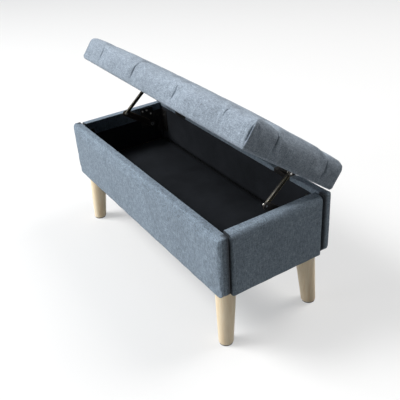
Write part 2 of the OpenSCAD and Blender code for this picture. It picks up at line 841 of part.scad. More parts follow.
module stay_arm(sx) {
    color(zinc) carcass() on_side(sx) stay_plane(arm_x, elbow, 0) rotate([0, 0, 180 - arm_rise])
        difference() {
            linear_extrude(arm_deep) link_shape(arm_len, arm_r);
            translate([0, 0, arm_t]) linear_extrude(arm_deep) link_shape(arm_len, arm_r - arm_t);
            translate([0, 0, -eps]) cylinder(h = arm_t + 2 * eps, r = small_pin_r + running);
            translate([arm_len, 0, -eps]) cylinder(h = arm_t + 2 * eps, r = small_pin_r + stay_play);
        }
}

module stay_lid_bracket(sx) {
    color(black) carcass() opened() on_side(sx) difference() {
        union() {
            translate([lever_x, stay_pin[0], stay_pin[1]]) rotate([0, 90, 0])
                cylinder(h = plate_t, r = lug_r);
            translate([lever_x, stay_pin[0] - lug_r, stay_pin[1]])
                cube([plate_t, 2 * lug_r, lid_z - stay_pin[1]]);
            translate([lever_x, flange_front, lid_z - plate_t]) cube([flange_w, flange_l, plate_t]);
        }
        translate([lever_x - eps, stay_pin[0], stay_pin[1]]) rotate([0, 90, 0])
            cylinder(h = plate_t + 2 * eps, r = small_pin_r);
        bracket_screw_places() screw_hole();
    }
}

module stay_lid_pins() {
    color(zinc) carcass() opened() for (s = ENDS) on_side(s)
        translate([arm_x - side_gap, stay_pin[0], stay_pin[1]]) rotate([0, 90, 0]) {
            cylinder(h = lever_x + plate_t - arm_x + side_gap, r = small_pin_r);
            translate([0, 0, -pin_head]) cylinder(h = pin_head, r = pin_head_r);
        }
}

front_board();
back_board();
left_board();
right_board();
front_cover();
back_cover();
left_cover();
right_cover();
front_lining();
back_lining();
left_lining();
right_lining();
floor_board();
floor_lining();
long_cleats();
end_cleats();
underside_cloth();
leg_block(-1, -1);  // leg_block_front_left
leg_block(1, -1);  // leg_block_front_right
leg_block(-1, 1);  // leg_block_back_left
leg_block(1, 1);  // leg_block_back_right
corner_bracket(-1, -1);  // corner_bracket_front_left
corner_bracket(1, -1);  // corner_bracket_front_right
corner_bracket(-1, 1);  // corner_bracket_back_left
corner_bracket(1, 1);  // corner_bracket_back_right
corner_screws();
leg(-1, -1);  // leg_front_left
leg(1, -1);  // leg_front_right
leg(-1, 1);  // leg_back_left
leg(1, 1);  // leg_back_right
leg_bolts();
leg_inserts();
glides();
hinge_box_leaf(-1);  // hinge_box_leaf_left
hinge_box_leaf(1);  // hinge_box_leaf_right
hinge_lid_leaf(-1);  // hinge_lid_leaf_left
hinge_lid_leaf(1);  // hinge_lid_leaf_right
hinge_pins();
hinge_box_screws();
hinge_lid_screws();
lid_board();
lid_cushion();
lid_lining();
stay_base(-1);  // stay_base_left
stay_base(1);  // stay_base_right
stay_lever(-1);  // stay_lever_left
stay_lever(1);  // stay_lever_right
stay_arm(-1);  // stay_arm_left
stay_arm(1);  // stay_arm_right
stay_lid_bracket(-1);  // stay_lid_bracket_left
stay_lid_bracket(1);  // stay_lid_bracket_right
stay_base_pins();
stay_elbow_pin(-1);  // stay_elbow_pin_left
stay_elbow_pin(1);  // stay_elbow_pin_right
stay_lid_pins();
stay_base_screws();
stay_bracket_screws();
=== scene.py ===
# Storage ottoman bench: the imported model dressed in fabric, wood and steel, in metres
import json
import math
import bpy
import bmesh
import numpy as np
from mathutils import Matrix, Vector, noise


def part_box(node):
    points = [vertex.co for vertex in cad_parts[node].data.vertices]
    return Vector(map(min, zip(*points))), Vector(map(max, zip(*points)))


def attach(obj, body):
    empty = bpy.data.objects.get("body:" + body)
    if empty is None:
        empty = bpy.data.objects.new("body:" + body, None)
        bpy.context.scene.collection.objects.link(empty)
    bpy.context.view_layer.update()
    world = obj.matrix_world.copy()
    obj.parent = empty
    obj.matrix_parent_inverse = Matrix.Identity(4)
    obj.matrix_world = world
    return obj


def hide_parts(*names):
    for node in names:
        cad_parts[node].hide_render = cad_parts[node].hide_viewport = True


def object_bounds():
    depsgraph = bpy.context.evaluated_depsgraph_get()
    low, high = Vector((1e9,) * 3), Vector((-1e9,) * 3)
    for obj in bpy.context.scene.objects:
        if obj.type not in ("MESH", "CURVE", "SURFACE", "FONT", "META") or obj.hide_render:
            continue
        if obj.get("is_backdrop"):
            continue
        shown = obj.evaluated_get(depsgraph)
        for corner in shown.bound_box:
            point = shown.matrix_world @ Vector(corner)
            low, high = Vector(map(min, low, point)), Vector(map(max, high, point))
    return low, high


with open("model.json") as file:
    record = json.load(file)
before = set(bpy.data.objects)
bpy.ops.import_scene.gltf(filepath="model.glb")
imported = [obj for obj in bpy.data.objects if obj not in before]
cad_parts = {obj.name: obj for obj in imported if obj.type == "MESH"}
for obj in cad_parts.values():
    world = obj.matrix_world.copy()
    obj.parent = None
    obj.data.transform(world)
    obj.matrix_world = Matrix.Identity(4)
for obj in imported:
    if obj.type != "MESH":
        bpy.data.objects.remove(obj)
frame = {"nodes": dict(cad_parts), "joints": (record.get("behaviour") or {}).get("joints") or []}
CAD_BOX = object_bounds()
MM = 0.001

# Sizes that the frame gives
FRONT_LOW, FRONT_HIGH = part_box("front_cover")
BACK_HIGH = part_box("back_cover")[1]
HALF_L = FRONT_HIGH.x
HALF_D = (BACK_HIGH.y - FRONT_LOW.y) / 2
BOX_Y = (BACK_HIGH.y + FRONT_LOW.y) / 2
RIM_Z = FRONT_HIGH.z
LID_JOINT = next(j for j in frame["joints"] if j["name"] == "lid_hinge")
AXIS = Vector(LID_JOINT["pos_m"])
OPEN_ANGLE = math.radians(LID_JOINT["range_deg"][0])
OPENED = Matrix.Translation(AXIS) @ Matrix.Rotation(OPEN_ANGLE, 4, "X") @ Matrix.Translation(-AXIS)
LID_Z = 2 * AXIS.z - RIM_Z

# Sizes of the box's covers and linings
LINING_T = 2 * MM
LONG_TURN_IN = 8 * MM
END_TURN_IN = 36 * MM
UNDER_LINING = 3 * MM
END_WRAP = 30 * MM
BACK_REACH = 4.5 * MM
NOSE_R = 4.5 * MM
INNER_END_R = 6 * MM
EDGE_R = 2 * MM
SHARP_CORNER = math.radians(38)

# Steps of the meshes
CLOTH_STEP = 8 * MM
LINING_STEP = 12 * MM
NEAR = 1e-5

# Sizes of the lid's cushion
SIDE_H = 45 * MM
SHOULDER_H = 24 * MM
SHOULDER_W = 24 * MM
CROWN_H = 9 * MM
TUFT_DEEP = 4 * MM
TUFT_X = [-300 * MM, -100 * MM, 100 * MM, 300 * MM]
TUFT_Y = [-84 * MM, 96 * MM]
VALLEY_W = 30 * MM
BORDER_HANG = 3 * MM
BORDER_W = 22 * MM
COVER_IN = 2 * MM
FOOT_R = 9 * MM
CORNER_R = 6 * MM
CORNER_SEAM = 7 * MM

# The hinges, on the rim of the back panel
HINGE_LOW, HINGE_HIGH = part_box("hinge_box_leaf_right")
HINGE_X = (HINGE_LOW.x + HINGE_HIGH.x) / 2
HINGE_HALF = (HINGE_HIGH.x - HINGE_LOW.x) / 2 + 4 * MM

# Sizes of the screws
HEAD_R = 3.4 * MM
HEAD_H = 1.6 * MM
SHANK_R = 1.8 * MM
SCREW_L = 10 * MM
POINT_R = 0.3 * MM
POINT_L = 3 * MM

# The cloth's weave, how much painted shade darkens it in the grooves between the panels, and how long its
# swelling takes
WEAVE_PITCH = 2.2 * MM
PAINTED_GROOVE_SHADE = 0.9
SWELL_FRAMES = 20


# Shader helpers

def feed(tree, node, inputs):
    """Links each socket among the inputs to the node, and sets anything else on it."""
    for key, value in inputs.items():
        if isinstance(value, bpy.types.NodeSocket):
            tree.links.new(value, node.inputs[key])
        else:
            node.inputs[key].default_value = value


def place(tree, kind, inputs=None, **settings):
    """One shader node with its settings and inputs."""
    made = tree.nodes.new(kind)
    for key, value in settings.items():
        setattr(made, key, value)
    feed(tree, made, inputs or {})
    return made


def math_node(tree, operation, a, b=0.5):
    return place(tree, "ShaderNodeMath", {0: a, 1: b}, operation=operation).outputs[0]


def total(tree, values):
    added = values[0]
    for value in values[1:]:
        added = math_node(tree, "ADD", added, value)
    return added


def weighed(tree, a, part_a, b, part_b):
    """The sum of a part of one value and a part of another."""
    first = math_node(tree, "MULTIPLY", a, part_a)
    return math_node(tree, "ADD", first, math_node(tree, "MULTIPLY", b, part_b))


def scaled(tree, colour, factor):
    return place(tree, "ShaderNodeVectorMath", {0: colour, "Scale": factor}, operation="SCALE").outputs[0]


def blend_colours(tree, factor, a, b):
    return place(tree, "ShaderNodeMix", {0: factor, 6: a, 7: b}, data_type="RGBA").outputs[2]


def span(tree, value, low, high, to_low=0.0, to_high=1.0):
    """Maps low to to_low and high to to_high."""
    return place(tree, "ShaderNodeMapRange", {0: value, 1: low, 2: high, 3: to_low, 4: to_high}).outputs[0]


def cloud(tree, vector, scale, detail=2.0, stretch=None):
    """A noise over the surface; stretch multiplies the coordinates on each axis."""
    if stretch:
        vector = place(tree, "ShaderNodeVectorMath", {0: vector, 1: stretch}, operation="MULTIPLY").outputs[0]
    made = place(tree, "ShaderNodeTexNoise", {"Vector": vector, "Scale": scale, "Detail": detail})
    return made.outputs["Fac"]


def new_group(name, inputs, outputs):
    """A node group with its input sockets to read and its output sockets to link to."""
    tree = bpy.data.node_groups.new(name, "ShaderNodeTree")
    kinds = {"Vector": "NodeSocketVector", "Color": "NodeSocketColor", "Float": "NodeSocketFloat"}
    for label, kind in inputs:
        tree.interface.new_socket(label, in_out="INPUT", socket_type=kinds[kind])
    for label, kind in outputs:
        tree.interface.new_socket(label, in_out="OUTPUT", socket_type=kinds[kind])
    return tree, tree.nodes.new("NodeGroupInput").outputs, tree.nodes.new("NodeGroupOutput").inputs


def melange_cloth():
    """Light and dark yarns along the three axes, soft streaks, and a plain weave from the UV map."""
    tree, given, made = new_group(
        "melange_cloth",
        [("Vector", "Vector"), ("Dark", "Color"), ("Light", "Color"), ("Contrast", "Float"),
         ("Warp", "Float"), ("Weft", "Float")],
        [("Color", "Color"), ("Height", "Float")])
    yarns = []
    for thread, along in ((1200, 0.12), (520, 0.15)):
        for axis in range(3):
            stretch = [1.0, 1.0, 1.0]
            stretch[axis] = along
            yarns.append(cloud(tree, given["Vector"], thread, 2, stretch))
    fine, coarse = total(tree, yarns[:3]), total(tree, yarns[3:])
    middle = len(yarns) / 2
    mix = span(tree, math_node(tree, "ADD", fine, coarse),
               math_node(tree, "SUBTRACT", middle, given["Contrast"]),
               math_node(tree, "ADD", middle, given["Contrast"]))
    nap = span(tree, cloud(tree, given["Vector"], 14, 3, (1, 1, 0.3)), 0.3, 0.7, 0.9, 1.09)
    for label, stretch in (("Warp", (1, 1, 0.25)), ("Weft", (0.3, 1, 1))):
        slubs = span(tree, cloud(tree, given["Vector"], 360, 3, stretch), 0.32, 0.68, -1.0, 1.0)
        uneven = math_node(tree, "ADD", math_node(tree, "MULTIPLY", slubs, given[label]), 1.0)
        nap = math_node(tree, "MULTIPLY", nap, uneven)
    base = blend_colours(tree, mix, given["Dark"], given["Light"])
    tree.links.new(scaled(tree, base, nap), made["Color"])
    uv = place(tree, "ShaderNodeSeparateXYZ", {0: place(tree, "ShaderNodeUVMap", uv_map="weave").outputs[0]})
    waves = [math_node(tree, "SINE", math_node(tree, "MULTIPLY", uv.outputs[k], 2 * math.pi / WEAVE_PITCH))
             for k in (0, 1)]
    weave = math_node(tree, "MULTIPLY", waves[0], waves[1])
    tree.links.new(weighed(tree, weave, 0.35, fine, 0.9), made["Height"])
    return tree


def wood_grain():
    """Long pale grain with darker bands and fine pores, along Z."""
    tree, given, made = new_group("wood_grain", [("Vector", "Vector"), ("Pale", "Color"), ("Tan", "Color")],
                                  [("Color", "Color"), ("Height", "Float")])
    bands = cloud(tree, given["Vector"], 75, 3, (1, 1, 0.05))
    fibres = cloud(tree, given["Vector"], 520, 3, (1, 1, 0.03))
    pores = cloud(tree, given["Vector"], 1500, 1, (1, 1, 0.06))
    mix = weighed(tree, span(tree, bands, 0.42, 0.7), 0.6, span(tree, fibres, 0.42, 0.66), 0.4)
    tree.links.new(blend_colours(tree, mix, given["Pale"], given["Tan"]), made["Color"])
    tree.links.new(math_node(tree, "ADD", fibres, pores), made["Height"])
    return tree


def edge_wear_and_glint():
    """A mask of the bevelled edges, broken up by scratches, for worn edges and, on the stay's arm, a painted
    edge highlight.
    """
    tree, given, made = new_group("edge_wear_and_glint", [("Vector", "Vector"), ("Amount", "Float")],
                                  [("Mask", "Float")])
    edge = place(tree, "ShaderNodeAttribute", attribute_name="edge").outputs["Fac"]
    broken = math_node(tree, "MULTIPLY", edge, span(tree, cloud(tree, given["Vector"], 260, 4), 0.62, 0.45))
    tree.links.new(math_node(tree, "MULTIPLY", broken, given["Amount"]), made["Mask"])
    return tree


CLOTH, WOOD, WEAR_AND_GLINT = melange_cloth(), wood_grain(), edge_wear_and_glint()


def new_material(name):
    """A material with its node tree, its shader and the piece's own coordinates."""
    made = bpy.data.materials.new(name)
    made.use_nodes = True
    tree = made.node_tree
    return made, tree, tree.nodes["Principled BSDF"], place(tree, "ShaderNodeTexCoord").outputs["Object"]


def group_node(tree, shared, inputs):
    return place(tree, "ShaderNodeGroup", inputs, node_tree=shared).outputs


def bump(tree, shader, height, distance, strength=1.0):
    made = place(tree, "ShaderNodeBump", {"Height": height, "Distance": distance, "Strength": strength})
    tree.links.new(made.outputs[0], shader.inputs["Normal"])


def fabric(name, dark, light, warp, weft, tilt=0.0):
    """The bench's woven fabric with uneven yarns and painted shade in the grooves between the panels; tilt
    turns its threads with the open lid.
    """
    made, tree, shader, where = new_material(name)
    if tilt:
        where = place(tree, "ShaderNodeMapping", {0: where, "Rotation": (tilt, 0, 0)}).outputs[0]
    cloth = group_node(tree, CLOTH, {"Vector": where, "Dark": dark, "Light": light, "Contrast": 0.5,
                                     "Warp": warp, "Weft": weft})
    # Painted shade: the mask darkens the cloth's colour in the grooves between the panels
    deep = place(tree, "ShaderNodeAttribute", attribute_name="painted_groove_shade").outputs["Fac"]
    painted_shade_factor = math_node(tree, "ADD", math_node(tree, "MULTIPLY", deep, -PAINTED_GROOVE_SHADE), 1.0)
    feed(tree, shader, {
        "Base Color": scaled(tree, cloth["Color"], painted_shade_factor), "Roughness": 0.93, "Specular IOR Level": 0.25,
        "Sheen Weight": 0.18, "Sheen Roughness": 0.45, "Sheen Tint": (0.75, 0.82, 0.95, 1)})
    bump(tree, shader, cloth["Height"], 0.35 * MM)
    return made


def black_lining(name, dark, light):
    """A thin, nearly black cloth of pressed fibres."""
    made, tree, shader, where = new_material(name)
    fibres, soft = cloud(tree, where, 900, 3), cloud(tree, where, 12, 3)
    shade = weighed(tree, span(tree, fibres, 0.3, 0.7), 0.5, span(tree, soft, 0.3, 0.7), 0.5)
    feed(tree, shader, {"Base Color": blend_colours(tree, shade, dark, light), "Roughness": 0.95,
                        "Specular IOR Level": 0.12})
    bump(tree, shader, fibres, 0.3 * MM)
    return made


def leg_wood():
    """Pale lacquered wood with its grain along the leg."""
    made, tree, shader, where = new_material("leg_wood")
    grain = group_node(tree, WOOD, {"Vector": where, "Pale": (0.97, 0.84, 0.62, 1),
                                    "Tan": (0.84, 0.63, 0.38, 1)})
    feed(tree, shader, {"Base Color": grain["Color"], "Roughness": 0.42, "Coat Weight": 0.15,
                        "Coat Roughness": 0.3})
    bump(tree, shader, grain["Height"], 0.12 * MM, 0.6)
    return made


def speckled(name, scale, detail, stretch, spread, dark, light, rough, relief):
    """A material of two mixed tones, such as chipboard or moulded plastic."""
    made, tree, shader, where = new_material(name)
    specks = cloud(tree, where, scale, detail, stretch)
    mix = span(tree, specks, 0.5 - spread, 0.5 + spread)
    feed(tree, shader, {"Base Color": blend_colours(tree, mix, dark, light), "Roughness": rough})
    bump(tree, shader, specks, relief)
    return made


def steel(name, dark, light, wear_and_glint_colour, metallic, rough, wear_and_glint_amount):
    """A plated or painted steel whose bevelled edges take another colour: wear, and on the stay's arm a
    painted edge highlight.
    """
    made, tree, shader, where = new_material(name)
    spots = cloud(tree, where, 240, 3)
    base = blend_colours(tree, span(tree, spots, 0.3, 0.7), dark, light)
    mask = group_node(tree, WEAR_AND_GLINT, {"Vector": where, "Amount": wear_and_glint_amount})["Mask"]
    feed(tree, shader, {
        "Base Color": blend_colours(tree, mask, base, wear_and_glint_colour), "Metallic": metallic,
        "Roughness": span(tree, spots, 0.3, 0.7, rough - 0.06, rough + 0.08)})
    bump(tree, shader, cloud(tree, where, 1400, 2), 0.04 * MM, 0.4)
    return made


# One cloth in two copies: the box's copy is darker than the lid's, as painted shade
BOX_FABRIC_PAINTED_DARKER = fabric("box_fabric", (0.105, 0.138, 0.176, 1), (0.290, 0.366, 0.450, 1), 0.22, 0.09)
LID_FABRIC = fabric("lid_fabric", (0.136, 0.166, 0.204, 1), (0.352, 0.420, 0.505, 1), 0.09, 0.09, -OPEN_ANGLE)
# One black lining in two copies: the walls' and lid's copy is lighter and the floor's darker, as painted
# light and painted shade
LINING_PAINTED_LIGHTER = black_lining("black_lining", (0.009, 0.0105, 0.013, 1), (0.030, 0.034, 0.042, 1))
FLOOR_LINING_PAINTED_DARKER = black_lining("floor_lining_cloth", (0.005, 0.006, 0.008, 1), (0.018, 0.021, 0.026, 1))
LEG_WOOD = leg_wood()
BOARD = speckled("board_wood", 260, 3, (0.4, 0.4, 1), 0.15, (0.42, 0.30, 0.17, 1), (0.62, 0.48, 0.31, 1),
                 0.75, 0.1 * MM)
GLIDE = speckled("glide_plastic", 1500, 2, None, 0.2, (0.012, 0.012, 0.013, 1), (0.03, 0.03, 0.031, 1),
                 0.55, 0.05 * MM)
BLACK_STEEL = steel("black_steel", (0.008, 0.008, 0.009, 1), (0.018, 0.017, 0.016, 1), (0.50, 0.42, 0.28, 1),
                    0.3, 0.42, 0.6)
BROWN_STEEL = steel("yellow_zinc_steel", (0.012, 0.010, 0.008, 1), (0.028, 0.021, 0.016, 1),
                    (0.50, 0.36, 0.26, 1), 0.3, 0.42, 0.8)
# The arm's golden edge colour is a painted edge highlight on the black steel
ARM_STEEL = steel("arm_steel", (0.010, 0.009, 0.006, 1), (0.022, 0.019, 0.012, 1), (0.70, 0.60, 0.36, 1),
                  0.3, 0.42, 0.75)
ZINC_STEEL = steel("zinc_steel", (0.42, 0.41, 0.40, 1), (0.62, 0.61, 0.59, 1), (0.80, 0.79, 0.77, 1),
                   1.0, 0.30, 0.5)
DARK_ZINC = steel("dark_zinc", (0.05, 0.048, 0.045, 1), (0.10, 0.095, 0.09, 1), (0.35, 0.33, 0.30, 1),
                  0.8, 0.42, 0.5)


# Mesh helpers

def finished(name, bm, material, body, nodes, sharp=None):
    """Makes a piece of the mesh: it rides on a body, takes a slot's finish and stands for CAD nodes."""
    mesh = bpy.data.meshes.new(name)
    bm.to_mesh(mesh)
    bm.free()
    mesh.polygons.foreach_set("use_smooth", [True] * len(mesh.polygons))
    if sharp:
        mesh.set_sharp_from_angle(angle=math.radians(sharp))
    mesh.materials.append(material)
    piece = bpy.data.objects.new(name, mesh)
    bpy.context.scene.collection.objects.link(piece)
    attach(piece, body)
    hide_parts(*nodes)
    return piece


def block(width, depth, height):
    """A plain block that stands on z = 0 with its outer face at y = 0."""
    bm = bmesh.new()
    bmesh.ops.create_cube(bm, size=1, matrix=Matrix.Translation((0, depth / 2, height / 2))
                          @ Matrix.Diagonal((width, depth, height, 1)))
    return bm


def finer_mesh(piece):
    made = piece.modifiers.new("finer", "SUBSURF")
    made.levels = made.render_levels = 1


def edges_where(bm, test):
    """The edges that the test accepts, by the edge, its middle and its direction."""
    found = []
    for edge in bm.edges:
        start, stop = edge.verts[0].co, edge.verts[1].co
        if test(edge, (start + stop) / 2, (stop - start).normalized()):
            found.append(edge)
    return found


def round_edges(bm, edges, radius, segments):
    return bmesh.ops.bevel(bm, geom=edges, offset=radius, offset_type="OFFSET", segments=segments,
                           profile=0.5, affect="EDGES", clamp_overlap=True, material=-1)


def slice_mesh(bm, axis, places, keep=None):
    """Cuts the mesh across an axis at each place, over all of it or over the faces that keep accepts."""
    normal = Vector((0, 0, 0))
    normal[axis] = 1
    for at in places:
        point = normal * at
        if keep:
            faces = [f for f in bm.faces if keep(f.calc_center_median())]
        else:
            faces = bm.faces[:]
        edges = {e for f in faces for e in f.edges}
        verts = {v for f in faces for v in f.verts}
        bmesh.ops.bisect_plane(bm, geom=[*verts, *edges, *faces], dist=1e-6, plane_co=point, plane_no=normal)


def soften_edge(bm, first, second, radius):
    """Rounds the edge of two plane faces, each given as its axis, which way it faces and where it lies."""
    for v in bm.verts:
        over = [radius - (at - v.co[axis]) * way for axis, way, at in (first, second)]
        if min(over) > 0:
            shrink = max(over) / math.hypot(*over)
            for (axis, way, at), part in zip((first, second), over):
                v.co[axis] = at - way * (radius - part * shrink)


def even_places(low, high, step):
    count = max(2, round((high - low) / step))
    return [low + (high - low) * k / count for k in range(1, count)]


def lay_weave(bm):
    """A UV map in metres from the three plane directions, for the weave."""
    layer = bm.loops.layers.uv.new("weave")
    for face in bm.faces:
        n = [abs(c) for c in face.normal]
        a, b = ((1, 2), (0, 2), (0, 1))[n.index(max(n))]
        for loop in face.loops:
            loop[layer].uv = (loop.vert.co[a], loop.vert.co[b])


def wave(point, size, seed=0.0):
    """A smooth noise of that wavelength, from -1 to 1."""
    return noise.noise(point / size + Vector((seed, seed * 1.7, seed * 0.3)))


def ease(value):
    value = min(1.0, max(0.0, value))
    return value * value * (3 - 2 * value)


# Soft goods: shapes that the padding pushes out from inside, with the cloth held where it is nailed or sewn

def swell(bm, hold, pressure, cap):
    """Inflates a closed shape as cloth, held where hold says, and moves no point further than cap."""
    start = [v.co.copy() for v in bm.verts]
    mesh = bpy.data.meshes.new("swelling")
    bm.to_mesh(mesh)
    blown = bpy.data.objects.new("swelling", mesh)
    scene = bpy.context.scene
    scene.collection.objects.link(blown)
    held = blown.vertex_groups.new(name="held")
    for index, where in enumerate(start):
        grip = hold(where)
        if grip > 0:
            held.add([index], grip, "REPLACE")
    cloth = blown.modifiers.new("cloth", "CLOTH")
    settings = cloth.settings
    settings.quality = 4
    settings.mass = 0.3
    settings.tension_stiffness = 18
    settings.compression_stiffness = 18
    settings.shear_stiffness = 8
    settings.bending_stiffness = 0.8
    settings.vertex_group_mass = "held"
    settings.shrink_min = -0.012
    settings.use_pressure = True
    settings.uniform_pressure_force = pressure
    settings.effector_weights.gravity = 0
    cloth.point_cache.frame_start = 1
    cloth.point_cache.frame_end = SWELL_FRAMES
    for step in range(1, SWELL_FRAMES + 1):
        scene.frame_set(step)
    shown = blown.evaluated_get(bpy.context.evaluated_depsgraph_get()).data
    moved = [v.co.copy() for v in shown.vertices]
    scene.frame_set(1)
    bpy.data.objects.remove(blown)
    bpy.data.meshes.remove(mesh)
    for v, old, new in zip(bm.verts, start, moved):
        way = new - old
        v.co = old + way * (min(1.0, cap / way.length) if way.length > 0 else 1.0)


# Padded panels of the box

def rim_bulk(x, hinged):
    """How far the folded fabric stands above the rim.

    It is bulky on the back panel, most of all near its ends, but flat under the hinges.
    """
    if not hinged:
        return 0.6 * MM
    free = ease((abs(abs(x) - HINGE_X) - HINGE_HALF) / (14 * MM))
    return (3.2 + 1.2 * ease((abs(x) - 300 * MM) / (30 * MM))) * MM * free


def padded_panel(name, cover, turn, rim_r, end_r, rim_end_r, corner_r, turn_in, painted_shade_width, seed):
    """A board padded on its outer face, with the fabric pulled over its edges and turned in at the rim.

    It is built with its outer face at y = 0, then turned and put in its place. The long panels have
    rounded lower corners and are wrapped round their ends. The end panels stand between them, and
    reach nearer to the back one. painted_shade_width is the width of the fabric beside the joint that
    gets painted shade.
    """
    low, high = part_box(cover)
    size, middle = high - low, (low + high) / 2
    width, thick = (size.x, size.y) if size.x > size.y else (size.y, size.x)
    height, end = size.z, width / 2
    hinged = cover == "back_cover"
    bm = block(width, thick, height)
    if corner_r:
        round_edges(bm, edges_where(bm, lambda e, m, d: abs(d.y) > 0.9 and m.z < MM), corner_r, 6)
    round_edges(bm, edges_where(bm, lambda e, m, d: abs(m.y) < NEAR and m.z > height - NEAR), rim_r, 5)
    round_edges(bm, edges_where(bm, lambda e, m, d: abs(m.y) < NEAR and m.z < height - rim_r - NEAR
                                or abs(abs(m.x) - end) < NEAR and m.y < rim_r and m.z > height - rim_r),
                min(NOSE_R, rim_r - MM), 3)
    round_edges(bm, edges_where(bm, lambda e, m, d: e.calc_face_angle(0) > SHARP_CORNER), EDGE_R, 2)
    fold_z = height - turn_in - UNDER_LINING
    end_wrap = END_WRAP if corner_r else 0
    slice_mesh(bm, 0, [*even_places(-end, end, CLOTH_STEP),
                       *(s * (end - k * MM) for s in (-1, 1) for k in (2, 4.5, 7.5, 11, 14))])
    slice_mesh(bm, 1, [k * thick / 6 for k in range(1, 6)])
    slice_mesh(bm, 2, [*even_places(0, height, CLOTH_STEP), fold_z, fold_z - MM])
    if end_wrap:
        slice_mesh(bm, 0, [s * (end - end_wrap - k * MM) for s in (-1, 1) for k in (0, 1)])
    for s in (-1, 1):
        end_face = (0, s, s * end)
        soften_edge(bm, end_face, (1, -1, 0.0), end_r)
        if corner_r:
            soften_edge(bm, end_face, (1, 1, thick), INNER_END_R)
            soften_edge(bm, end_face, (2, 1, height), rim_end_r)
    bm.normal_update()
    # Painted shade: a mask over the fabric beside the joints, at the long panels' inner ends and the end
    # panels' edges, which the fabric's material darkens
    painted_groove_shade = bm.verts.layers.float.new("painted_groove_shade")
    for v in bm.verts:
        x, y = abs(v.co.x), v.co.y
        if corner_r:
            by_the_end = ease((x - end + 24 * MM) / (4 * MM))
            v[painted_groove_shade] = by_the_end * ease((y - thick + painted_shade_width) / (painted_shade_width - 1.5 * MM))
        else:
            v[painted_groove_shade] = ease((x - end + 3 * MM) / (2.5 * MM)) * ease((y - 4 * MM) / (3 * MM))

    def nailed(p):
        """The cloth is nailed to the inner face and the foot, and lies tight along the edges."""
        if p.y > thick - 3 * MM or p.z < 6 * MM:
            return 1.0
        edge = min(end - abs(p.x), p.z, height - p.z + 6 * MM)
        return max(0.0, 0.8 - edge / (12 * MM)) if edge < 10 * MM else 0.0

    out = {v: v.normal.copy() for v in bm.verts}
    swell(bm, nailed, 1.4, 2.2 * MM)
    for v in bm.verts:
        x, y, z = v.co
        if y > thick - 2.5 * MM and out[v].y > 0.5:
            if z < fold_z - 0.5 * MM and abs(x) < end - end_wrap - 0.5 * MM:
                v.co.y -= LINING_T + 0.6 * MM
            elif turn_in > 20 * MM:
                fold = math.sin(x / (7 * MM) + 2.5 * wave(v.co, 60 * MM, seed))
                fold *= ease((height - z) / (14 * MM))
                free = ease((z - fold_z) / (10 * MM))
                v.co.y += ((0.8 * fold - 0.5) * free + 0.7 * (1 - free)) * MM
            continue
        soft = 0.4 * wave(v.co, 80 * MM, seed) + 0.2 * wave(v.co, 26 * MM, seed + 5)
        pull = 0.3 * math.sin(x / (11 * MM) + 3 * wave(v.co, 90 * MM, seed)) * ease(1 - z / (14 * MM))
        v.co += out[v] * ((soft + pull - 0.4) * MM)
    for v in bm.verts:
        v.co.z += rim_bulk(v.co.x, hinged) * ease((v.co.z - height + 12 * MM) / (12 * MM))
        if hinged and abs(abs(v.co.x) - HINGE_X) < HINGE_HALF:
            v.co.z = min(v.co.z, height - 0.2 * MM)
            v.co.y = min(v.co.y, thick - 0.1 * MM)
    if not corner_r:
        to_back = math.copysign(1, turn)
        for v in bm.verts:
            v.co.x += to_back * BACK_REACH * ease((to_back * v.co.x - end + 30 * MM) / (30 * MM))
    lay_weave(bm)
    bm.transform(Matrix.Translation(Vector((middle.x, middle.y, low.z)))
                 @ Matrix.Rotation(math.radians(turn), 4, "Z") @ Matrix.Translation((0, -thick / 2, 0)))
    piece = finished(name, bm, BOX_FABRIC_PAINTED_DARKER, "box", [cover])
    finer_mesh(piece)


# The order: turn, rounding of the rim, of the ends, of the rim at the ends and of the lower corners,
# width of the turned-in fabric, width of the painted shade beside the joints, seed
padded_panel("front_panel", "front_cover", 0, 9 * MM, 11.5 * MM, 7 * MM, 22 * MM, LONG_TURN_IN, 16 * MM, 1)
padded_panel("back_panel", "back_cover", 180, 4 * MM, 6 * MM, 4 * MM, 22 * MM, LONG_TURN_IN, 15 * MM, 2)
padded_panel("right_panel", "right_cover", 90, 15 * MM, 6 * MM, 0, 0, END_TURN_IN, 0, 3)
padded_panel("left_panel", "left_cover", -90, 15 * MM, 6 * MM, 0, 0, END_TURN_IN, 0, 4)


# Linings

def lining_sheet(name, node, thin_axis, flat, wrinkle, cloth=LINING_PAINTED_LIGHTER):
    """A thin cloth of the box in the place of a lining node, with soft wrinkles."""
    low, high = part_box(node)
    size, middle = high - low, (low + high) / 2
    scale = [size.x, size.y, size.z]
    scale[thin_axis] = 1.2 * MM
    bm = bmesh.new()
    bmesh.ops.create_cube(bm, size=1, matrix=Matrix.Translation(middle) @ Matrix.Diagonal((*scale, 1)))
    for axis in range(3):
        if axis != thin_axis:
            slice_mesh(bm, axis, even_places(low[axis], high[axis], LINING_STEP))
    for v in bm.verts:
        v.co[thin_axis] += wrinkle * (0.5 * wave(v.co, 60 * MM, 7) + 0.3 * wave(v.co, 25 * MM, 9))
    lay_weave(bm)
    piece = finished(name, bm, cloth, "box", [node])


for side in ("front", "back", "left", "right"):
    low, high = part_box(f"{side}_lining")
    size = high - low
    thin = 1 if side in ("front", "back") else 0
    lining_sheet(f"{side}_lining_cloth", f"{side}_lining", thin, (max(size.x, size.y), size.z),
                 0.5 * MM)
low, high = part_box("floor_lining")
lining_sheet("floor_lining_cloth", "floor_lining", 2, (high.x - low.x, high.y - low.y),
             0.7 * MM, FLOOR_LINING_PAINTED_DARKER)
low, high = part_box("underside_cloth")
lining_sheet("dust_cloth", "underside_cloth", 2, (high.x - low.x, high.y - low.y),
             0.0)


# Lid: built closed and opened at the end

def off_line(value, marks):
    return min(abs(value - m) for m in marks)


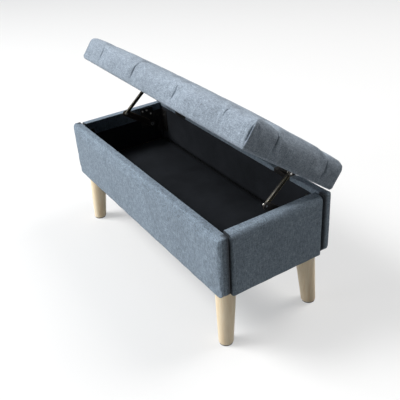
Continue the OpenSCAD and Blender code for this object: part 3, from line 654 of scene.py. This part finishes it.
def slit(bm, axis, at, low, high, deep, sway, near, loops=(-5, -1.6, -0.5, 0.5, 1.6, 5)):
    """A crease down a side of the cushion: cut across an axis at the loops, swayed, and pressed in."""
    across, side_half = 1 - axis, (HALF_D if axis == 0 else HALF_L)
    slice_mesh(bm, axis, [at + k * MM for k in loops],
               lambda m: m[across] * near > side_half - 30 * MM and m.z > -2 * MM)
    inner, outer = (loops[3] + 0.2) * MM, (loops[4] + 0.2) * MM
    reach = 45 * MM
    for v in bm.verts:
        if v.co[across] * near < side_half - 30 * MM or v.co.z < -2 * MM:
            continue
        off = v.co[axis] - at
        up = (v.co.z - low) / (high - low)
        press = math.sin(math.pi * up ** 0.8) ** 0.6 if 0 < up < 1 else 0.0
        room = 2 * MM + (deep - 2 * MM) * ease((v.co.z - 14 * MM) / (6 * MM))
        if abs(off) < inner:
            v.co[across] -= near * min(deep, room) * press
        elif abs(off) < outer:
            v.co[across] -= near * 0.15 * deep * press
        if abs(off) < reach and 0 < up < 1:
            v.co[axis] += sway * math.sin(math.pi * up) * ease(1 - abs(off) / reach)


# The creases down the cushion's sides, in millimetres: their foot, how far they end below the top,
# how deep they are and how far they sway
FRONT_CREASES = ((1, 13, 4.5, 3), (1, 9, 6.5, -6), (16, 13, 4.5, 3), (42, 9, 4, -3))
BACK_CREASES = ((1, 16, 5, -3), (10, 12, 4, 3), (1, 16, 6, 3), (20, 12, 4, -2))
END_CREASES = ((1, 9, 6, 5), (5, 12, 6, 5))


def lid_cushion():
    """Foam and wadding under one cloth: tufted on top, creased down its sides and sewn at the corners."""
    width, depth = 2 * HALF_L - 2 * COVER_IN, 2 * HALF_D - 2 * COVER_IN
    height = SIDE_H + SHOULDER_H - COVER_IN
    bm = block(width, depth, height + BORDER_HANG)
    bmesh.ops.translate(bm, vec=(0, -depth / 2, -BORDER_HANG), verts=bm.verts)
    round_edges(bm, edges_where(bm, lambda e, m, d: m.z > height - MM), SHOULDER_W - 3 * MM, 5)
    round_edges(bm, edges_where(bm, lambda e, m, d: m.z < -BORDER_HANG + 0.1 * MM), FOOT_R, 3)
    for v in bm.verts:
        over_y, over_z = v.co.y - depth / 2 + FOOT_R, FOOT_R - BORDER_HANG - v.co.z
        if over_y > 0 and over_z > 0:
            fuller = 1 + 0.85 * (FOOT_R / max(over_y, over_z) - 1)
            v.co.y += over_y * (fuller - 1)
            v.co.z -= over_z * (fuller - 1)
    for axis, half, end in ((0, HALF_L, width / 2), (1, HALF_D, depth / 2)):
        slice_mesh(bm, axis, [*even_places(-half, half, CLOTH_STEP),
                              *(s * (end - k * MM) for s in (-1, 1) for k in (3, 6, 15, 22))])
    slice_mesh(bm, 2, even_places(0, SIDE_H, CLOTH_STEP))
    for end in (-1, 1):
        for near in (-1, 1):
            soften_edge(bm, (0, end, end * width / 2), (1, near, near * depth / 2), CORNER_R)
    for v in bm.verts:
        x, y, z = v.co
        lift = ease((z - SIDE_H) / SHOULDER_H)
        if lift > 0:
            crown = (1 - abs(x / HALF_L) ** 3) * (1 - abs(y / HALF_D) ** 2.4)
            valley = max(0.0, 1 - off_line(x, TUFT_X) / VALLEY_W, 1 - off_line(y, TUFT_Y) / VALLEY_W)
            v.co.z += lift * ((CROWN_H - COVER_IN) * crown - TUFT_DEEP * valley ** 2)
        elif z < 0:
            inside = min(width / 2 - abs(x), depth / 2 - abs(y))
            off_hinge = 1.0
            if y > HALF_D - 30 * MM:
                off_hinge = ease((abs(abs(x) - HINGE_X) - HINGE_HALF) / (8 * MM))
            v.co.z *= (1 - ease((inside - 14 * MM) / (8 * MM))) * off_hinge

    def sewn(p):
        """The cloth is nailed under the board, and sewn along the tufted lines and down the corners."""
        if p.z < 4 * MM:
            return 1.0
        if p.y > HALF_D - 40 * MM and p.z < 24 * MM:
            return 0.7
        if min(off_line(p.x, TUFT_X), off_line(p.y, TUFT_Y)) < 4.5 * MM:
            return 1.0 if p.z > SIDE_H + 12 * MM else 0.35
        if width / 2 - abs(p.x) < 4 * MM and depth / 2 - abs(p.y) < 4 * MM:
            return 0.9
        return 0.0

    swell(bm, sewn, 4.0, 3.5 * MM)
    tall = SIDE_H + SHOULDER_H
    for axis, places, creases, nears in ((0, TUFT_X, FRONT_CREASES, (-1,)), (0, TUFT_X, BACK_CREASES, (1,)),
                                         (1, TUFT_Y, END_CREASES, (-1, 1))):
        for at, (foot, short, deep, sway) in zip(places, creases):
            for near in nears:
                slit(bm, axis, at, foot * MM, tall - short * MM, deep * MM, sway * MM, near)
    for near in (-1, 1):
        for end in (-1, 1):
            slit(bm, 0, end * (HALF_L - CORNER_SEAM), 9 * MM, tall - 16 * MM, 8 * MM, 0.0, near,
                 loops=(-6, -2.0, -0.8, 0.8, 2.0, 4))
    for v in bm.verts:
        soft = 0.45 * wave(v.co, 75 * MM, 11) + 0.25 * wave(v.co, 28 * MM, 12)
        v.co.z += soft * MM * ease((v.co.z - 5 * MM) / (30 * MM))
        if abs(v.co.y) > HALF_D - 22 * MM and v.co.z > 3 * MM:
            v.co.y += math.copysign(0.8 * wave(v.co, 45 * MM, 13) * MM, v.co.y)
        if abs(v.co.x) > HALF_L - 22 * MM and v.co.z > 3 * MM:
            v.co.x += math.copysign(0.8 * wave(v.co, 45 * MM, 14) * MM, v.co.x)
    lay_weave(bm)
    bm.transform(OPENED @ Matrix.Translation((0, BOX_Y, LID_Z)))
    piece = finished("tufted_cushion", bm, LID_FABRIC, "lid", ["lid_cushion"])
    finer_mesh(piece)


lid_cushion()


def lid_lining():
    """The black cloth under the lid board."""
    width = 2 * (HALF_L - BORDER_W) - 3 * MM
    depth = 2 * (HALF_D - BORDER_W) - 3 * MM
    bm = bmesh.new()
    bmesh.ops.create_cube(bm, size=1, matrix=Matrix.Translation((0, BOX_Y, LID_Z - 0.4 * MM))
                          @ Matrix.Diagonal((width, depth, 1.0 * MM, 1)))
    slice_mesh(bm, 0, even_places(-HALF_L, HALF_L, LINING_STEP))
    slice_mesh(bm, 1, even_places(BOX_Y - HALF_D, BOX_Y + HALF_D, LINING_STEP))
    bm.transform(OPENED)
    piece = finished("lid_lining_cloth", bm, LINING_PAINTED_LIGHTER, "lid", ["lid_lining"])


lid_lining()


# Wood and metal pieces made from the CAD nodes

def eased_copy(name, node, radius, material, body, segments=2, only=None):
    """A merged copy of a CAD node with its sharp edges eased; the eased faces are marked for the edge colour:
    wear, and on the stay's arm a painted edge highlight.
    """
    bm = bmesh.new()
    bm.from_mesh(frame["nodes"][node].data)
    bmesh.ops.remove_doubles(bm, verts=bm.verts, dist=1e-6)
    bmesh.ops.dissolve_limit(bm, angle_limit=math.radians(0.6), verts=bm.verts, edges=bm.edges,
                             use_dissolve_boundaries=False, delimit=set())
    layer = bm.faces.layers.float.new("edge")
    sharp = 32
    edges = [e for e in bm.edges if len(e.link_faces) == 2 and e.calc_face_angle(0) > math.radians(sharp)
             and (only is None or only((e.verts[0].co + e.verts[1].co) / 2))]
    made = round_edges(bm, edges, radius, segments)
    for face in made["faces"]:
        face[layer] = 1.0
    finished(name, bm, material, body, [node], sharp=sharp)


for corner in ("front_left", "front_right", "back_left", "back_right"):
    eased_copy(f"turned_leg_{corner}", f"leg_{corner}", 2.2 * MM, LEG_WOOD, "box", 3,
               only=lambda m: m.z < 10 * MM)
    eased_copy(f"angle_bracket_{corner}", f"corner_bracket_{corner}", 0.4 * MM, BLACK_STEEL, "box")
for side in ("left", "right"):
    for body in ("box", "lid"):
        eased_copy(f"hinge_leaf_{body}_{side}", f"hinge_{body}_leaf_{side}", 0.25 * MM, BLACK_STEEL, body)
    eased_copy(f"stay_plate_{side}", f"stay_base_{side}", 0.4 * MM, BLACK_STEEL, "box")
    eased_copy(f"stay_crank_{side}", f"stay_lever_{side}", 0.4 * MM, BROWN_STEEL, f"{side}_lever")
    eased_copy(f"stay_channel_{side}", f"stay_arm_{side}", 0.3 * MM, ARM_STEEL, f"{side}_arm")
    eased_copy(f"stay_lug_{side}", f"stay_lid_bracket_{side}", 0.4 * MM, BLACK_STEEL, "lid")


def screw_shape():
    """A wood screw along +Z with its seat at z = 0: a domed head with a cross recess, and a pointed shank."""
    bm = bmesh.new()
    bmesh.ops.create_grid(bm, x_segments=5, y_segments=5, size=1)
    crown_r = 0.62 * HEAD_R
    for v in bm.verts:
        x, y = v.co.x, v.co.y
        v.co = Vector((x * math.sqrt(1 - y * y / 2), y * math.sqrt(1 - x * x / 2), 0)) * crown_r
        v.co.z = -HEAD_H
    cross = []
    for face in bm.faces:
        middle = face.calc_center_median()
        if min(abs(middle.x), abs(middle.y)) < 0.05 * HEAD_R and middle.xy.length < 0.4 * HEAD_R:
            cross.append(face)
    pit = bmesh.ops.extrude_face_region(bm, geom=cross)
    bmesh.ops.delete(bm, geom=cross, context="FACES_ONLY")
    bmesh.ops.translate(bm, vec=(0, 0, 0.6 * HEAD_H),
                        verts=[v for v in pit["geom"] if isinstance(v, bmesh.types.BMVert)])
    rim = [e for e in bm.edges if e.is_boundary
           and all(abs(v.co.xy.length - crown_r) < 0.02 * HEAD_R for v in e.verts)]
    for radius, level in ((0.86 * HEAD_R, -0.78 * HEAD_H), (HEAD_R, -0.3 * HEAD_H), (HEAD_R, 0), (SHANK_R, 0),
                          (SHANK_R, SCREW_L - POINT_L), (POINT_R, SCREW_L)):
        made = bmesh.ops.extrude_edge_only(bm, edges=rim)["geom"]
        rim = [e for e in made if isinstance(e, bmesh.types.BMEdge)]
        for v in {v for e in rim for v in e.verts}:
            v.co.xy = v.co.xy.normalized() * radius
            v.co.z = level
    bmesh.ops.contextual_create(bm, geom=rim)
    bmesh.ops.recalc_face_normals(bm, faces=bm.faces)
    return bm


def islands(bm):
    """The points of each separate solid of a mesh, in the order of their first points."""
    left = set(bm.verts)
    for first in bm.verts:
        if first not in left:
            continue
        points, edge = [], [first]
        left.discard(first)
        while edge:
            v = edge.pop()
            points.append(tuple(v.co))
            for e in v.link_edges:
                other = e.other_vert(v)
                if other in left:
                    left.discard(other)
                    edge.append(other)
        yield np.array(points)


def seated_screws(name, node, body, finish):
    """Cross-recessed screws in the places of the CAD node's screws, each turned a little differently."""
    found = bmesh.new()
    found.from_mesh(frame["nodes"][node].data)
    bmesh.ops.remove_doubles(found, verts=found.verts, dist=1e-6)
    pattern = bpy.data.meshes.new("pattern")
    shape = screw_shape()
    shape.to_mesh(pattern)
    shape.free()
    made = bmesh.new()
    for count, points in enumerate(islands(found)):
        centre = points.mean(axis=0)
        middle = (points.max(axis=0) + points.min(axis=0)) / 2
        along = np.linalg.svd(points - middle, full_matrices=False)[2][0]
        height = (points - centre) @ along
        radius = np.linalg.norm((points - centre) - np.outer(height, along), axis=1)
        seat = float(height[radius > radius.max() - 0.2 * MM].mean())
        if seat > 0:
            along, seat = -along, -seat
        at = Vector(tuple(centre + along * seat))
        turned = Vector(tuple(along)).to_track_quat("Z", "Y").to_matrix().to_4x4()
        before = len(made.verts)
        made.from_mesh(pattern)
        made.verts.ensure_lookup_table()
        turn = Matrix.Rotation(1.9 * count, 4, "Z")
        bmesh.ops.transform(made, matrix=Matrix.Translation(at) @ turned @ turn, verts=made.verts[before:])
    found.free()
    bpy.data.meshes.remove(pattern)
    finished(name, made, finish, body, [node], sharp=35)


seated_screws("corner_bracket_screws", "corner_screws", "box", DARK_ZINC)
seated_screws("hinge_screws_box", "hinge_box_screws", "box", DARK_ZINC)
seated_screws("hinge_screws_lid", "hinge_lid_screws", "lid", DARK_ZINC)
seated_screws("stay_plate_screws", "stay_base_screws", "box", ZINC_STEEL)
seated_screws("stay_lug_screws", "stay_bracket_screws", "lid", ZINC_STEEL)

KEPT_FINISHES = {
    "_board": BOARD, "_cleats": BOARD, "leg_block": BOARD, "glides": GLIDE,
    "leg_bolts": ZINC_STEEL, "leg_inserts": BROWN_STEEL, "_pins": ZINC_STEEL, "_pin_": ZINC_STEEL}
for name, node in frame["nodes"].items():
    for ending, finish in KEPT_FINISHES.items():
        if ending in name:
            for held in node.material_slots:
                held.material = finish


# Camera, floor and light

CAMERA_AT = (1.2871, -0.7509, 1.0670)
CAMERA_TURN = math.radians(59.03)
CAMERA_TILT = math.radians(59.08)
CAMERA_ROLL = math.radians(-3.91)
FLOOR_R = 30

camera_data = bpy.data.cameras.new("camera")
camera_data.sensor_width = 36
camera_data.lens = 54.90
camera = bpy.data.objects.new("camera", camera_data)
bpy.context.scene.collection.objects.link(camera)
camera.matrix_world = (Matrix.Translation(CAMERA_AT) @ Matrix.Rotation(CAMERA_TURN, 4, "Z")
                       @ Matrix.Rotation(CAMERA_TILT, 4, "X") @ Matrix.Rotation(CAMERA_ROLL, 4, "Z"))
bpy.context.scene.camera = camera


def seen_directly(tree):
    """1 for rays that show a background: from the camera, and through mirrors and glass."""
    path = place(tree, "ShaderNodeLightPath").outputs
    some = math_node(tree, "MAXIMUM", path["Is Camera Ray"], path["Is Glossy Ray"])
    return math_node(tree, "MAXIMUM", some, path["Is Transmission Ray"])


def pale_floor():
    """A pale floor that keeps the shadows, and looks nearly white from the camera."""
    made = bpy.data.materials.new("pale_floor")
    made.use_nodes = True
    tree = made.node_tree
    tree.nodes.clear()
    bounce = place(tree, "ShaderNodeBsdfDiffuse", {"Color": (0.36, 0.36, 0.355, 1)}).outputs[0]
    shade = place(tree, "ShaderNodeBsdfDiffuse", {"Color": (0.42, 0.424, 0.43, 1)}).outputs[0]
    glow = place(tree, "ShaderNodeEmission", {"Color": (0.975, 0.988, 1.0, 1), "Strength": 0.45}).outputs[0]
    shown = place(tree, "ShaderNodeAddShader", {0: shade, 1: glow}).outputs[0]
    mixed = place(tree, "ShaderNodeMixShader", {0: seen_directly(tree), 1: bounce, 2: shown}).outputs[0]
    place(tree, "ShaderNodeOutputMaterial", {0: mixed})
    bm = bmesh.new()
    bmesh.ops.create_circle(bm, cap_ends=True, segments=64, radius=FLOOR_R)
    mesh = bpy.data.meshes.new("floor")
    bm.to_mesh(mesh)
    bm.free()
    mesh.materials.append(made)
    floor = bpy.data.objects.new("floor", mesh)
    bpy.context.scene.collection.objects.link(floor)
    floor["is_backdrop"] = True


def softbox(name, at, size, level, colour):
    """A square lamp that lights the bench at a level, where 1 shows a white surface as white."""
    lamp = bpy.data.lights.new(name, "AREA")
    way = Vector(at) - Vector((0, 0, RIM_Z))
    lamp.energy = level * math.pi ** 2 * way.length_squared
    lamp.size = size
    lamp.color = colour
    made = bpy.data.objects.new(name, lamp)
    bpy.context.scene.collection.objects.link(made)
    made.visible_camera = False
    made.matrix_world = Matrix.Translation(at) @ way.to_track_quat("Z", "Y").to_matrix().to_4x4()


def soft_light():
    """Softboxes at the front left, low in front, and above and behind, in a room that is dim on the right."""
    world = bpy.data.worlds.new("studio")
    bpy.context.scene.world = world
    world.use_nodes = True
    tree = world.node_tree
    tree.nodes.clear()
    way = place(tree, "ShaderNodeTexCoord").outputs["Generated"]
    side = place(tree, "ShaderNodeSeparateXYZ", {0: way}).outputs[0]
    dim = span(tree, side, 0.5, -0.6, 0.03, 0.22)
    around = place(tree, "ShaderNodeBackground", {"Color": (0.93, 0.96, 1.0, 1), "Strength": dim}).outputs[0]
    behind = place(tree, "ShaderNodeBackground", {"Color": (0.93, 0.94, 0.95, 1), "Strength": 1.0}).outputs[0]
    mixed = place(tree, "ShaderNodeMixShader", {0: seen_directly(tree), 1: around, 2: behind}).outputs[0]
    place(tree, "ShaderNodeOutputWorld", {0: mixed})
    softbox("key", (-2.2, -2.65, 4.1), 2.0, 1.12, (1.0, 0.99, 0.97))
    softbox("fill", (-1.3, -4.5, 1.75), 2.4, 0.38, (1.0, 0.99, 0.97))
    softbox("overhead", (0.7, 2.7, 4.4), 2.2, 0.70, (1.0, 0.96, 0.91))


pale_floor()
soft_light()
bpy.context.scene.view_settings.view_transform = "Standard"

DRESSED_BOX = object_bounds()
[[[float(c) for c in corner] for corner in pair] for pair in (CAD_BOX, DRESSED_BOX)]
